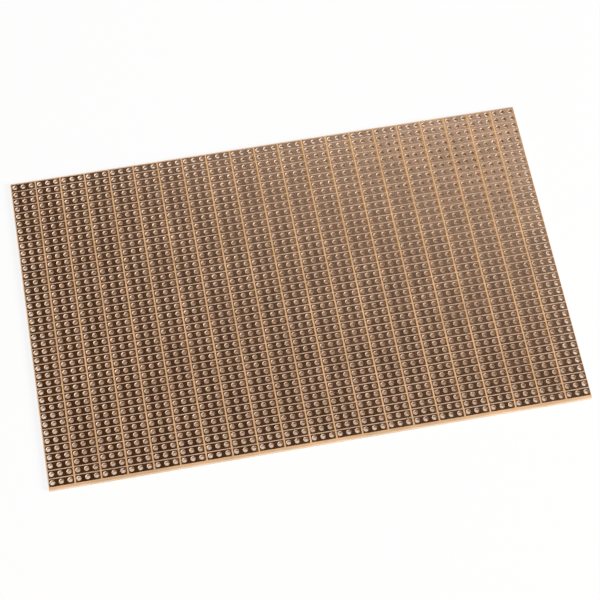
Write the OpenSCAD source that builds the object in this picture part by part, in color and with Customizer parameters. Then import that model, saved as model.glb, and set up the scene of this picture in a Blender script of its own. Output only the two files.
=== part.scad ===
// Perforated prototype board: a punched hard-paper laminate that carries copper
// pads of three holes each, in the 160 x 100 mm card format, copper side up.
// X runs along the pads, Y along the pad columns and Z up.
// The origin is on the surface that the board lies on, under its middle.

/* [Board] */
// Length of the board, along the pads
board_length = 160; // [60:0.5:164]
// Depth of the board, across the pads
board_depth = 100; // [40:0.5:120]
// Thickness of the laminate
board_thickness = 1.5; // [0.8:0.1:3.2]
// Height of the board's middle over its two ends, which it lies on
bow = 0.05; // [0.02:0.01:0.8]

/* [Hole grid] */
// Distance from hole to hole, both ways
pitch = 2.54; // [2.5:0.01:2.6]
// Diameter of a hole
hole_d = 1.4; // [0.6:0.05:1.6]
// How far the middle of the grid lies behind the board's middle
grid_back = 0.31; // [0:0.01:0.5]

/* [Copper] */
// Thickness of the copper foil
copper_thickness = 0.035; // [0.018:0.001:0.105]
// Holes in one pad
holes_per_pad = 3; // [1:1:6]
// Bare laminate between the ends of two pads
end_gap = 0.5; // [0.3:0.05:0.8]
// Bare laminate between the sides of two pads
side_gap = 0.3; // [0.2:0.05:0.7]
// Least bare laminate between a pad and the board's edge
edge_land = 0.1; // [0.1:0.05:2]
// How far the pads lie to the right of their holes, as punched
copper_right = 0.1; // [0:0.01:0.12]
// How far the pads lie in front of their holes, as punched
copper_front = 0.09; // [0:0.01:0.12]

/* [Hidden] */
// One pad, and how many columns and rows of pads the board has room for
pad_length = holes_per_pad * pitch - end_gap;
pad_width = pitch - side_gap;
column_pitch = holes_per_pad * pitch;
columns = floor((board_length - 2 * (edge_land + copper_right) + end_gap) / column_pitch);
rows = floor((board_depth - 2 * (edge_land + grid_back + copper_front) + side_gap) / pitch);

// A drill runs past both faces by this much, and its outline has this many sides
drill_over = 1;
drill_sides = 32;

// Places on the grid: the middle of a pad's holes, and each hole from there
function column_x(k) = (k - (columns - 1) / 2) * column_pitch;
function row_y(r) = (r - (rows - 1) / 2) * pitch + grid_back;
function hole_x(h) = (h - (holes_per_pad - 1) / 2) * pitch;

// The board follows its bow in level strips, one under each pad column, so that
// the holes are round on both faces. It lies on the first strip and the last.
function strip_height(k) = bow * (1 - pow(column_x(k) / column_x(0), 2));
function strip_edge(k) =
    k == 0 ? -board_length / 2 :
    k == columns ? board_length / 2 :
    (k - columns / 2) * column_pitch;

// Copper pads are named by column, from the left
function column_name(k) = str("pad_column_", k < 9 ? "0" : "", k + 1);
column_names = [for (k = [0:columns - 1]) column_name(k)];

// The bare board seen from the front, with its height along Y
module stepped_section() {
    underside = [for (k = [0:columns - 1], e = [0, 1]) [strip_edge(k + e), strip_height(k)]];
    top = [for (k = [columns - 1:-1:0], e = [1, 0]) [strip_edge(k + e), strip_height(k) + board_thickness]];
    polygon(concat(underside, top));
}

// Every hole of the grid, through the laminate
module drills() {
    for (k = [0:columns - 1], h = [0:holes_per_pad - 1], r = [0:rows - 1])
        translate([column_x(k) + hole_x(h), row_y(r), -drill_over])
            cylinder(d = hole_d, h = board_thickness + bow + 2 * drill_over, $fn = drill_sides);
}

// Punched hard-paper laminate, in one piece
module laminate() {
    color("burlywood")
    difference() {
        rotate([90, 0, 0])
            linear_extrude(board_depth, center = true) stepped_section();
        drills();
    }
}

// Outline of one copper pad around its holes
module pad_outline() {
    difference() {
        translate([copper_right, -copper_front])
            square([pad_length, pad_width], center = true);
        for (h = [0:holes_per_pad - 1])
            translate([hole_x(h), 0]) circle(d = hole_d, $fn = drill_sides);
    }
}

// One column of separate copper pads, which lies on its own strip of the laminate
module pad_column(k) {
    color("sienna")
    translate([column_x(k), 0, strip_height(k) + board_thickness])
    linear_extrude(copper_thickness)
    for (r = [0:rows - 1])
        translate([0, row_y(r)]) pad_outline();
}

laminate();
for (k = [0:columns - 1])
    pad_column(k);
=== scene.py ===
from math import cos, pi, radians, sin

import bmesh
import bpy
from mathutils import Matrix, Vector


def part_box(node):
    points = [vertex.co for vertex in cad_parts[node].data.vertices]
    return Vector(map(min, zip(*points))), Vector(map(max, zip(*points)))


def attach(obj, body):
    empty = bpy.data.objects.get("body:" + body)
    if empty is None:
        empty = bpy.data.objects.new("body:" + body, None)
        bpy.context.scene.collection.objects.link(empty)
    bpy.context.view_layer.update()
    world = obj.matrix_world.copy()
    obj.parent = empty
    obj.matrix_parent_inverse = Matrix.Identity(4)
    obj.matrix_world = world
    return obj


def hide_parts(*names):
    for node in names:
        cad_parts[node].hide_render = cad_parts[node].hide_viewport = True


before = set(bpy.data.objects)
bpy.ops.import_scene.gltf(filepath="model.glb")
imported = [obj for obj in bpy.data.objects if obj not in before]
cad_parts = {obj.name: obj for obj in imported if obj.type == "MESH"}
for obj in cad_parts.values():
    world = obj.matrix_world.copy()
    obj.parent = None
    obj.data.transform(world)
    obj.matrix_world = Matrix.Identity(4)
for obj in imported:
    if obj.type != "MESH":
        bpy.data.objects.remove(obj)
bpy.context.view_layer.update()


# ---- Laminate -------------------------------------------------------------------
# The board itself: one sheet of pressed hard paper, orange-tan under its resin,
# cut to the card format and punched with the whole grid of holes in one stroke.
# Its two faces are smooth, and its cut edges and hole walls show pale pulp.

HOLES_PER_PAD = 3
HOLE_SIDES = 16
HOLE_R = 0.70e-3
# The punch met the sheet a little to the left and the back of the etched pads
PUNCHED_LEFT, PUNCHED_BACK = 0.10e-3, 0.09e-3

column_names = sorted(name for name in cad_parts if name.startswith("pad_column"))
board_low, board_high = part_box("laminate")
first_low, first_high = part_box(column_names[0])
last_low, last_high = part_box(column_names[-1])
middle_low, middle_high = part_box(column_names[len(column_names) // 2])

column_pitch = (last_low.x - first_low.x) / (len(column_names) - 1)
pitch = column_pitch / HOLES_PER_PAD
rows = round((first_high.y - first_low.y) / pitch)
holes_along = HOLES_PER_PAD * len(column_names)
grid_x = (first_low.x + last_high.x) / 2 - PUNCHED_LEFT
grid_y = (first_high.y + first_low.y) / 2 + PUNCHED_BACK
end_column_x = (last_low.x + last_high.x) / 2 - PUNCHED_LEFT
thickness = first_low.z - board_low.z
bow = middle_low.z - first_low.z


def bow_height(x):
    """How far the board stands over its ends at x."""
    return bow * (1 - min(1, abs(x) / end_column_x) ** 2)


def repeat(mesh_in_work, count, step):
    """Copies the whole mesh in a line, count in all."""
    pattern = mesh_in_work.verts[:] + mesh_in_work.edges[:] + mesh_in_work.faces[:]
    for i in range(1, count):
        copy = bmesh.ops.duplicate(mesh_in_work, geom=pattern)["geom"]
        verts = [part for part in copy if isinstance(part, bmesh.types.BMVert)]
        bmesh.ops.translate(mesh_in_work, verts=verts, vec=step * i)


def rectangle(mesh_in_work, length, width, x=0.0, y=0.0):
    """Four edges round a middle, with no face in them."""
    quarter_turn = Matrix.Rotation(pi / 4, 4, "Z")
    unit_square_r = 0.5 ** 0.5
    ring = bmesh.ops.create_circle(mesh_in_work, segments=4, radius=unit_square_r, matrix=quarter_turn)
    bmesh.ops.scale(mesh_in_work, verts=ring["verts"], vec=(length, width, 1))
    bmesh.ops.translate(mesh_in_work, verts=ring["verts"], vec=(x, y, 0))
    return ring["verts"]


def circle(mesh_in_work, radius, x=0.0):
    """A ring of edges that runs the same way at every hole."""
    place = Matrix.Translation((x, 0, 0))
    ring = bmesh.ops.create_circle(mesh_in_work, segments=HOLE_SIDES, radius=radius, matrix=place)
    return ring["verts"]


def finished(mesh_in_work, name, smooth_under):
    """A closed mesh made an object, shaded soft under the given angle and within a finish."""
    bmesh.ops.recalc_face_normals(mesh_in_work, faces=mesh_in_work.faces[:])
    for face in mesh_in_work.faces:
        face.smooth = True
    for edge in mesh_in_work.edges:
        one_finish = len({face.material_index for face in edge.link_faces}) == 1
        edge.smooth = one_finish and edge.calc_face_angle(0) < smooth_under
    mesh = bpy.data.meshes.new(name)
    mesh_in_work.to_mesh(mesh)
    mesh_in_work.free()
    piece = bpy.data.objects.new(name, mesh)
    bpy.context.scene.collection.objects.link(piece)
    return piece


# The finishes that follow the face's own: the hole walls' and the cut edges'
WALL, CUT_EDGE = 1, 2

# One hole in its square of sheet, with its top, its underside and its wall
sheet = bmesh.new()
rectangle(sheet, pitch, pitch)
circle(sheet, HOLE_R)
bmesh.ops.triangle_fill(sheet, use_beauty=True, edges=sheet.edges[:])
underside = bmesh.ops.duplicate(sheet, geom=sheet.verts[:] + sheet.edges[:] + sheet.faces[:])["geom"]
underside_verts = [part for part in underside if isinstance(part, bmesh.types.BMVert)]
bmesh.ops.translate(sheet, verts=underside_verts, vec=(0, 0, -thickness))
just_past_rim = 1.01 * HOLE_R
rim_edges = [e for e in sheet.edges if all(v.co.xy.length < just_past_rim for v in e.verts)]
for face in bmesh.ops.bridge_loops(sheet, edges=rim_edges)["faces"]:
    face.material_index = WALL

# The whole grid, drawn out to the outline, closed round its edge and laid on the bow
repeat(sheet, rows, Vector((0, pitch, 0)))
repeat(sheet, holes_along, Vector((pitch, 0, 0)))
bmesh.ops.remove_doubles(sheet, verts=sheet.verts[:], dist=1e-6)
to_grid = Vector((grid_x - pitch * (holes_along - 1) / 2, grid_y - pitch * (rows - 1) / 2, first_low.z))
bmesh.ops.translate(sheet, verts=sheet.verts[:], vec=to_grid)
outline_edges = [edge for edge in sheet.edges if edge.is_boundary]
short_of_end = 0.1 * pitch
for vert in {vert for edge in outline_edges for vert in edge.verts}:
    if abs(vert.co.x - grid_x) > pitch * holes_along / 2 - short_of_end:
        vert.co.x = board_high.x if vert.co.x > 0 else board_low.x
    if abs(vert.co.y - grid_y) > pitch * rows / 2 - short_of_end:
        vert.co.y = board_high.y if vert.co.y > 0 else board_low.y
for face in bmesh.ops.bridge_loops(sheet, edges=outline_edges)["faces"]:
    face.material_index = CUT_EDGE
for vert in sheet.verts:
    vert.co.z += bow_height(vert.co.x)
laminate = finished(sheet, "punched_laminate", smooth_under=radians(40))
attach(laminate, "root")
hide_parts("laminate")


def fill(tree, node, *in_order, **by_name):
    """Fills a node's inputs with numbers, colours or the outputs of other nodes.

    They are given in the node's order or by name, with an underscore for a space.
    """
    named = {name.replace("_", " "): term for name, term in by_name.items()}
    for place, term in (dict(enumerate(in_order)) | named).items():
        if isinstance(term, bpy.types.NodeSocket):
            tree.links.new(term, node.inputs[place])
        else:
            node.inputs[place].default_value = term
    return node


def add(tree, kind, *in_order, operation=None, data_type=None, node_tree=None, **by_name):
    """Adds a shader node with its settings, and fills its inputs."""
    node = tree.nodes.new("ShaderNode" + kind)
    if operation:
        node.operation = operation
    if data_type:
        node.data_type = data_type
    if node_tree:
        node.node_tree = node_tree
    return fill(tree, node, *in_order, **by_name)


def colour_ramp(tree, source, stops):
    """Colours a node's output between stops, each of a place and a colour."""
    ramp = add(tree, "ValToRGB", source)
    for place, colour in stops[1:-1]:
        ramp.color_ramp.elements.new(place)
    for stop, (place, colour) in zip(ramp.color_ramp.elements, stops):
        stop.position = place
        stop.color = (*colour, 1)
    return ramp.outputs["Color"]


def new_material(name):
    """A material with its node tree and shader, and the object's own coordinates."""
    material = bpy.data.materials.new(name)
    material.use_nodes = True
    tree = material.node_tree
    return material, tree, tree.nodes["Principled BSDF"], add(tree, "TexCoord").outputs["Object"]


def new_group(name, inputs, outputs):
    """A node group whose inputs have a kind and a value, and whose outputs are numbers."""
    group = bpy.data.node_groups.new(name, "ShaderNodeTree")
    for label, kind, value in inputs:
        socket = group.interface.new_socket(name=label, in_out="INPUT", socket_type=kind)
        if value is not None:
            socket.default_value = value
    for label in outputs:
        group.interface.new_socket(name=label, in_out="OUTPUT", socket_type="NodeSocketFloat")
    return group, group.nodes.new("NodeGroupInput").outputs, group.nodes.new("NodeGroupOutput")


# Paper pulp pressed in resin: fine fibres that run along the board, over clouds
# where the resin took up more or less colour.
FIBRE_SHARE, CLOUD_SHARE = 0.45, 0.55
pulp, given, result = new_group(
    "pressed_pulp",
    inputs=[("Vector", "NodeSocketVector", None),
            ("Fibres per metre", "NodeSocketFloat", 700.0),
            ("Clouds per metre", "NodeSocketFloat", 70.0)],
    outputs=["Shade", "Fibre"])
along = add(pulp, "VectorMath", given["Vector"], (0.35, 1.0, 1.0), operation="MULTIPLY")
fibre = add(pulp, "TexNoise", Vector=along.outputs[0], Scale=given["Fibres per metre"],
            Detail=5.0, Roughness=0.65)
cloud = add(pulp, "TexNoise", Vector=given["Vector"], Scale=given["Clouds per metre"],
            Detail=3.0, Roughness=0.5)
cloud_part = add(pulp, "Math", cloud.outputs[0], CLOUD_SHARE, operation="MULTIPLY")
shade = add(pulp, "Math", fibre.outputs[0], FIBRE_SHARE, cloud_part.outputs[0], operation="MULTIPLY_ADD")
fill(pulp, result, Shade=shade.outputs[0], Fibre=fibre.outputs[0])

# A painted highlight: the back left side of each hole is lightened, where the front right light would fall on
# the wall and lip.
# The group gives 0 at the front right of every hole and 1 at its back left.
LIT_SIDE = (-0.7, 0.7, 0)
hole_r_in_pitches = HOLE_R / pitch
hole_highlight, given, result = new_group("painted_hole_highlight", inputs=[("Vector", "NodeSocketVector", None)],
                                outputs=["Back left"])
in_pitches = add(hole_highlight, "Mapping", Vector=given["Vector"],
                 Location=(0.5 - grid_x / pitch, 0.5 - grid_y / pitch, 0), Scale=(1 / pitch, 1 / pitch, 0))
in_square = add(hole_highlight, "VectorMath", in_pitches.outputs[0], operation="FRACTION")
from_middle = add(hole_highlight, "VectorMath", in_square.outputs[0], (0.5, 0.5, 0), operation="SUBTRACT")
to_side = add(hole_highlight, "VectorMath", from_middle.outputs[0], LIT_SIDE, operation="DOT_PRODUCT")
side = add(hole_highlight, "MapRange", Value=to_side.outputs["Value"],
           From_Min=-hole_r_in_pitches, From_Max=hole_r_in_pitches)
fill(hole_highlight, result, Back_left=side.outputs[0])


def painted_hole_light(tree, place, tone, least=0.68, most=1.06):
    """Lightens a tone from the front right of every hole to its back left, as a painted highlight."""
    highlight_side = add(tree, "Group", node_tree=hole_highlight, Vector=place)
    strength = add(tree, "MapRange", Value=highlight_side.outputs["Back left"], To_Min=least, To_Max=most)
    return add(tree, "HueSaturation", Value=strength.outputs[0], Color=tone).outputs[0]


def greyed(tree, place, tone):
    """Greys and darkens the narrow strips between the rows.

    The gaps between the columns and the margins of the board keep their tone. X is
    measured in column pitches from a column's middle, and Y in depths of the grid.
    """
    grid_depth = pitch * rows
    in_grid = add(tree, "Mapping", Vector=place, Location=(-grid_x / column_pitch, -grid_y / grid_depth, 0),
                  Scale=(1 / column_pitch, 1 / grid_depth, 0))
    across = add(tree, "SeparateXYZ", in_grid.outputs[0])
    off_column = add(tree, "Math", across.outputs["X"], 0.5, operation="PINGPONG")
    in_column = add(tree, "MapRange", Value=off_column.outputs[0], From_Min=0.465, From_Max=0.445)
    off_middle = add(tree, "Math", across.outputs["Y"], operation="ABSOLUTE")
    in_rows = add(tree, "MapRange", Value=off_middle.outputs[0], From_Min=0.5, From_Max=0.498)
    between_rows = add(tree, "Math", in_column.outputs[0], in_rows.outputs[0], operation="MULTIPLY")
    grey = add(tree, "HueSaturation", Saturation=0.76, Value=0.885, Fac=between_rows.outputs[0], Color=tone)
    return grey.outputs[0]


def pulp_material(name, tones, roughness, fibres_per_metre, fibre_height, tint_and_highlight=None):
    """Hard paper between a dark and a light tone, under its overlay if it has one: a greying of the row
    strips on the faces, a painted highlight on the hole walls.
    """
    material, tree, shader, place = new_material(name)
    paper = add(tree, "Group", node_tree=pulp, Vector=place, Fibres_per_metre=fibres_per_metre)
    dark, light = tones
    tone = colour_ramp(tree, paper.outputs["Shade"], [(0.36, dark), (0.64, light)])
    sheen = add(tree, "MapRange", Value=paper.outputs["Fibre"], From_Min=0.3, From_Max=0.7,
                To_Min=roughness - 0.06, To_Max=roughness + 0.06)
    bump = add(tree, "Bump", Strength=1.0, Distance=fibre_height, Height=paper.outputs["Fibre"])
    fill(tree, shader, Base_Color=tint_and_highlight(tree, place, tone) if tint_and_highlight else tone,
         Roughness=sheen.outputs[0], Normal=bump.outputs[0])
    return material


FACE_TONES = (0.565, 0.36, 0.20), (0.75, 0.475, 0.275)
WALL_TONES = (0.73, 0.51, 0.345), (0.94, 0.75, 0.58)
CUT_TONES = (0.55, 0.40, 0.27), (0.72, 0.57, 0.42)
laminate.data.materials.append(pulp_material(
    "hard_paper_face", FACE_TONES, roughness=0.48, fibres_per_metre=900.0, fibre_height=6e-6, tint_and_highlight=greyed))
# The hole walls carry the painted highlight at the back left of each hole
laminate.data.materials.append(pulp_material(
    "punched_wall", WALL_TONES, roughness=0.5, fibres_per_metre=1600.0, fibre_height=12e-6, tint_and_highlight=painted_hole_light))
laminate.data.materials.append(pulp_material(
    "hard_paper_cut", CUT_TONES, roughness=0.75, fibres_per_metre=1600.0, fibre_height=20e-6))


# ---- Copper pads ----------------------------------------------------------------
# Short strips of copper foil, three holes to a strip, etched from one sheet that
# was pressed onto the laminate, then coated with a brown soldering lacquer.
# The punch drew the foil a little way into each hole and burnished it there; the lip's pale colour is partly
# a painted glint.

pad_length = first_high.x - first_low.x
pad_width = first_high.y - first_low.y - pitch * (rows - 1)
foil = first_high.z - first_low.z
# Radius and height of the lip round a hole, from its mouth down to the laminate
LIP_STEPS = [(0.74e-3, 0.0), (0.71e-3, -0.013e-3), (0.69e-3, -0.048e-3), (HOLE_R, -foil)]
# The lip's finish follows the foil's
LIP = 1


def ring_down(mesh_in_work, ring, x, radius, height):
    """Grows a ring of a hole's lip to a new radius and height, and returns it."""
    edges = [e for e in mesh_in_work.edges if e.is_boundary and all(v in ring for v in e.verts)]
    grown = bmesh.ops.extrude_edge_only(mesh_in_work, edges=edges)["geom"]
    verts = [part for part in grown if isinstance(part, bmesh.types.BMVert)]
    for vert in verts:
        out = Vector((vert.co.x - x, vert.co.y)).normalized() * radius
        vert.co = (x + out.x, out.y, height)
    for face in {face for vert in verts for face in vert.link_faces}:
        face.material_index = LIP
    return verts


pads = bmesh.new()
outline = rectangle(pads, pad_length, pad_width, PUNCHED_LEFT, -PUNCHED_BACK)
hole_places = [pitch * (h - (HOLES_PER_PAD - 1) / 2) for h in range(HOLES_PER_PAD)]
mouth_r = LIP_STEPS[0][0]
mouths = [circle(pads, mouth_r, x) for x in hole_places]
bmesh.ops.triangle_fill(pads, use_beauty=True, edges=pads.edges[:])
top_outline = [e for e in pads.edges if e.is_boundary and all(v in outline for v in e.verts)]
lower_outline = bmesh.ops.extrude_edge_only(pads, edges=top_outline)["geom"]
lower_corners = [part for part in lower_outline if isinstance(part, bmesh.types.BMVert)]
bmesh.ops.translate(pads, verts=lower_corners, vec=(0, 0, -foil))
for ring, x in zip(mouths, hole_places):
    for radius, height in LIP_STEPS[1:]:
        ring = ring_down(pads, ring, x, radius, height)
bmesh.ops.triangle_fill(pads, use_beauty=True, edges=[e for e in pads.edges if e.is_boundary])
repeat(pads, rows, Vector((0, pitch, 0)))
bmesh.ops.translate(pads, verts=pads.verts[:], vec=(0, grid_y - pitch * (rows - 1) / 2, 0))

# Each pad has a tone of its own, over clouds of thinner and thicker lacquer
COPPER, AMBER = (0.53, 0.26, 0.12), (0.60, 0.265, 0.075)
copper, tree, shader, place = new_material("lacquered_copper")
in_pads = add(tree, "Mapping", Vector=place, Scale=(1 / column_pitch, 1 / pitch, 0),
              Location=(0.5 - grid_x / column_pitch, 0.5 - grid_y / pitch, 0))
pad_number = add(tree, "VectorMath", in_pads.outputs[0], operation="FLOOR")
pad_tone = add(tree, "TexWhiteNoise", Vector=pad_number.outputs[0])
clouds = add(tree, "TexNoise", Vector=place, Scale=130.0, Detail=4.0, Roughness=0.6)
PAD_SHARE = 0.25
lacquer = add(tree, "Math", pad_tone.outputs["Value"], PAD_SHARE, clouds.outputs[0], operation="MULTIPLY_ADD")
tone = colour_ramp(tree, lacquer.outputs[0], [(0.4, [0.84 * level for level in COPPER]),
                                              (0.85, [1.14 * level for level in COPPER])])
# The lacquer gathered at the two ends of each pad, where it stands amber. The
# distance from the gap between two pads is measured in column pitches.
across = add(tree, "SeparateXYZ", in_pads.outputs[0])
from_gap = add(tree, "Math", across.outputs["X"], 0.5, operation="PINGPONG")
at_end = add(tree, "MapRange", Value=from_gap.outputs[0], From_Min=0.14, From_Max=0.07)
amber = add(tree, "Mix", data_type="RGBA", Factor=at_end.outputs[0], A=tone, B=(*AMBER, 1))
bare_share = add(tree, "MapRange", Value=at_end.outputs[0], To_Min=1.0, To_Max=0.91)
# Light rub marks along the board
rub_place = add(tree, "Mapping", Vector=place, Scale=(0.25, 1, 1))
rub = add(tree, "TexNoise", Vector=rub_place.outputs[0], Scale=900.0, Detail=3.0, Roughness=0.6)
rub_roughness = add(tree, "MapRange", Value=rub.outputs[0], From_Min=0.3, From_Max=0.7,
                    To_Min=0.23, To_Max=0.3)
rub_bump = add(tree, "Bump", Strength=1.0, Distance=2e-6, Height=rub.outputs[0])
fill(tree, shader, Base_Color=amber.outputs["Result"], Metallic=bare_share.outputs[0],
     Roughness=rub_roughness.outputs[0], Normal=rub_bump.outputs[0], Coat_Weight=1.0, Coat_Roughness=0.25)

# The lip is pale where the punch rubbed the lacquer off, and paler still as a painted glint of the front
# light, with the painted highlight at the back left of each hole
LIP_DARK, LIP_LIGHT = (0.80, 0.65, 0.53), (0.97, 0.84, 0.73)
lip_copper_and_glint, tree, shader, place = new_material("burnished_lip_and_painted_glint")
burnish = add(tree, "TexNoise", Vector=place, Scale=1500.0, Detail=2.0)
lip_tone = colour_ramp(tree, burnish.outputs[0], [(0.35, LIP_DARK), (0.65, LIP_LIGHT)])
fill(tree, shader, Base_Color=painted_hole_light(tree, place, lip_tone, least=0.75, most=1.03),
     Metallic=0.25, Roughness=0.3)

one_column = finished(pads, "pad_column", smooth_under=radians(50))
for number, name in enumerate(column_names, start=1):
    low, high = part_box(name)
    column = bpy.data.objects.new(f"foil_pads_{number:02d}", one_column.data.copy())
    column.data.transform(Matrix.Translation(((low.x + high.x) / 2 - PUNCHED_LEFT, 0, high.z)))
    column.data.materials.append(copper)
    column.data.materials.append(lip_copper_and_glint)
    bpy.context.scene.collection.objects.link(column)
    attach(column, "root")
    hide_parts(name)
bpy.data.objects.remove(one_column)


# ---- Floor, light and camera ----------------------------------------------------
# A white table under two soft studio boxes: one at the front right for the plain
# light, which nothing mirrors, and one at the back right that the copper mirrors.

FLOOR_HALF = 2.0
table = bmesh.new()
bmesh.ops.create_grid(table, x_segments=1, y_segments=1, size=FLOOR_HALF)
floor_mesh = bpy.data.meshes.new("floor")
table.to_mesh(floor_mesh)
table.free()
floor = bpy.data.objects.new("floor", floor_mesh)
bpy.context.scene.collection.objects.link(floor)


def sight(tree):
    """Whether a ray comes from the camera, and whether from a mirror or through glass."""
    path = add(tree, "LightPath").outputs
    mirrored = add(tree, "Math", path["Is Glossy Ray"], path["Is Transmission Ray"], operation="MAXIMUM")
    return path["Is Camera Ray"], mirrored.outputs[0]


# The camera and the copper see the table as a glow: white beside the board, and under it a painted shadow
# that darkens the farther a point lies under it. What lights the board is its plain white shader.
SHADE = [(0.0, (1.0, 1.0, 1.0)), (0.05, (0.78, 0.635, 0.51)), (0.16, (0.625, 0.45, 0.34)),
         (0.33, (0.50, 0.333, 0.237)), (1.0, (0.44, 0.280, 0.195))]
DEEP_SHADE = 30e-3
white, tree, shader, place = new_material("white_table")
floor.data.materials.append(white)
fill(tree, shader, Base_Color=(0.85, 0.85, 0.85, 1), Roughness=0.9)
off_middle = add(tree, "VectorMath", place, operation="ABSOLUTE")
board_corner = (board_high.x, board_high.y, 0)
outside = add(tree, "VectorMath", off_middle.outputs[0], board_corner, operation="SUBTRACT")
across = add(tree, "SeparateXYZ", outside.outputs[0])
farthest = add(tree, "Math", across.outputs["X"], across.outputs["Y"], operation="MAXIMUM")
under = add(tree, "MapRange", Value=farthest.outputs[0], From_Min=0.0, From_Max=-DEEP_SHADE)
# The painted shadow under the board, a glow that the camera and mirrors see
painted_shadow_glow = add(tree, "Emission", Color=colour_ramp(tree, under.outputs[0], SHADE))
share = add(tree, "MapRange", Value=farthest.outputs[0], From_Min=-0.5e-3, From_Max=0.5e-3,
            To_Min=0.85, To_Max=0.9)
from_camera, mirrored = sight(tree)
seen = add(tree, "Math", from_camera, mirrored, operation="MAXIMUM")
seen_share = add(tree, "Math", seen.outputs[0], share.outputs[0], operation="MULTIPLY")
lit = add(tree, "MixShader", seen_share.outputs[0], shader.outputs[0], painted_shadow_glow.outputs[0])
fill(tree, tree.nodes["Material Output"], Surface=lit.outputs[0])

# A dim room over the board, and a white backdrop for the camera and for what the
# copper mirrors from low down
SKY = [(0.15, (0.60, 0.60, 0.60)), (0.42, (0.16, 0.15, 0.14)), (0.78, (0.084, 0.050, 0.013))]
world = bpy.data.worlds.new("studio")
bpy.context.scene.world = world
world.use_nodes = True
tree = world.node_tree
direction = add(tree, "TexCoord").outputs["Generated"]
height = add(tree, "SeparateXYZ", direction).outputs["Z"]
room = fill(tree, tree.nodes["Background"], Color=colour_ramp(tree, height, SKY))
backdrop = add(tree, "Background", Color=(1, 1, 1, 1))
low = add(tree, "MapRange", Value=height, From_Min=0.35, From_Max=0.2)
from_camera, mirrored = sight(tree)
mirrored_low = add(tree, "Math", mirrored, low.outputs[0], operation="MULTIPLY")
seen = add(tree, "Math", from_camera, mirrored_low.outputs[0], operation="MAXIMUM")
studio = add(tree, "MixShader", seen.outputs[0], room.outputs[0], backdrop.outputs[0])
fill(tree, tree.nodes["World Output"], Surface=studio.outputs[0])


def softbox(name, azimuth, elevation, distance, size, brightness, in_mirrors=True):
    """A square soft light aimed at the board. Azimuth 0 is behind it, and 90 to its right."""
    turn, lift = radians(azimuth), radians(elevation)
    place = distance * Vector((sin(turn) * cos(lift), cos(turn) * cos(lift), sin(lift)))
    lamp = bpy.data.lights.new(name, "AREA")
    lamp.size = size
    lamp.energy = max(brightness) * size * size * pi
    lamp.color = [level / max(brightness) for level in brightness]
    box = bpy.data.objects.new(name, lamp)
    bpy.context.scene.collection.objects.link(box)
    box.visible_glossy = in_mirrors
    box.matrix_world = Matrix.Translation(place) @ place.to_track_quat("Z", "Y").to_matrix().to_4x4()


softbox("front_right_box", azimuth=122, elevation=32, distance=2.4, size=1.0,
        brightness=(32.0, 31.4, 30.8), in_mirrors=False)
softbox("back_right_box", azimuth=25.7, elevation=44.9, distance=1.2, size=0.614,
        brightness=(1.13, 1.44, 1.85))

# The camera stands over the front of the board and looks down on it, a little askew
SENSOR_MM, LENS_MM = 36, 96.95
CLOSEST_SEEN = 0.01
CAMERA_PLACE = Vector((-0.03998, -0.19642, 0.445755))
CAMERA_RIGHT = Vector((0.98335, -0.18127, 0.01281)).normalized()
CAMERA_FORWARD = Vector((0.08485, 0.39567, -0.91447)).normalized()
camera_up = CAMERA_RIGHT.cross(CAMERA_FORWARD)
camera_data = bpy.data.cameras.new("camera")
camera_data.sensor_width = SENSOR_MM
camera_data.lens = LENS_MM
camera_data.clip_start = CLOSEST_SEEN
camera = bpy.data.objects.new("camera", camera_data)
bpy.context.scene.collection.objects.link(camera)
bpy.context.scene.camera = camera
turned = Matrix((CAMERA_RIGHT, camera_up, -CAMERA_FORWARD)).transposed()
camera.matrix_world = Matrix.Translation(CAMERA_PLACE) @ turned.to_4x4()

bpy.context.scene.view_settings.view_transform = "Standard"
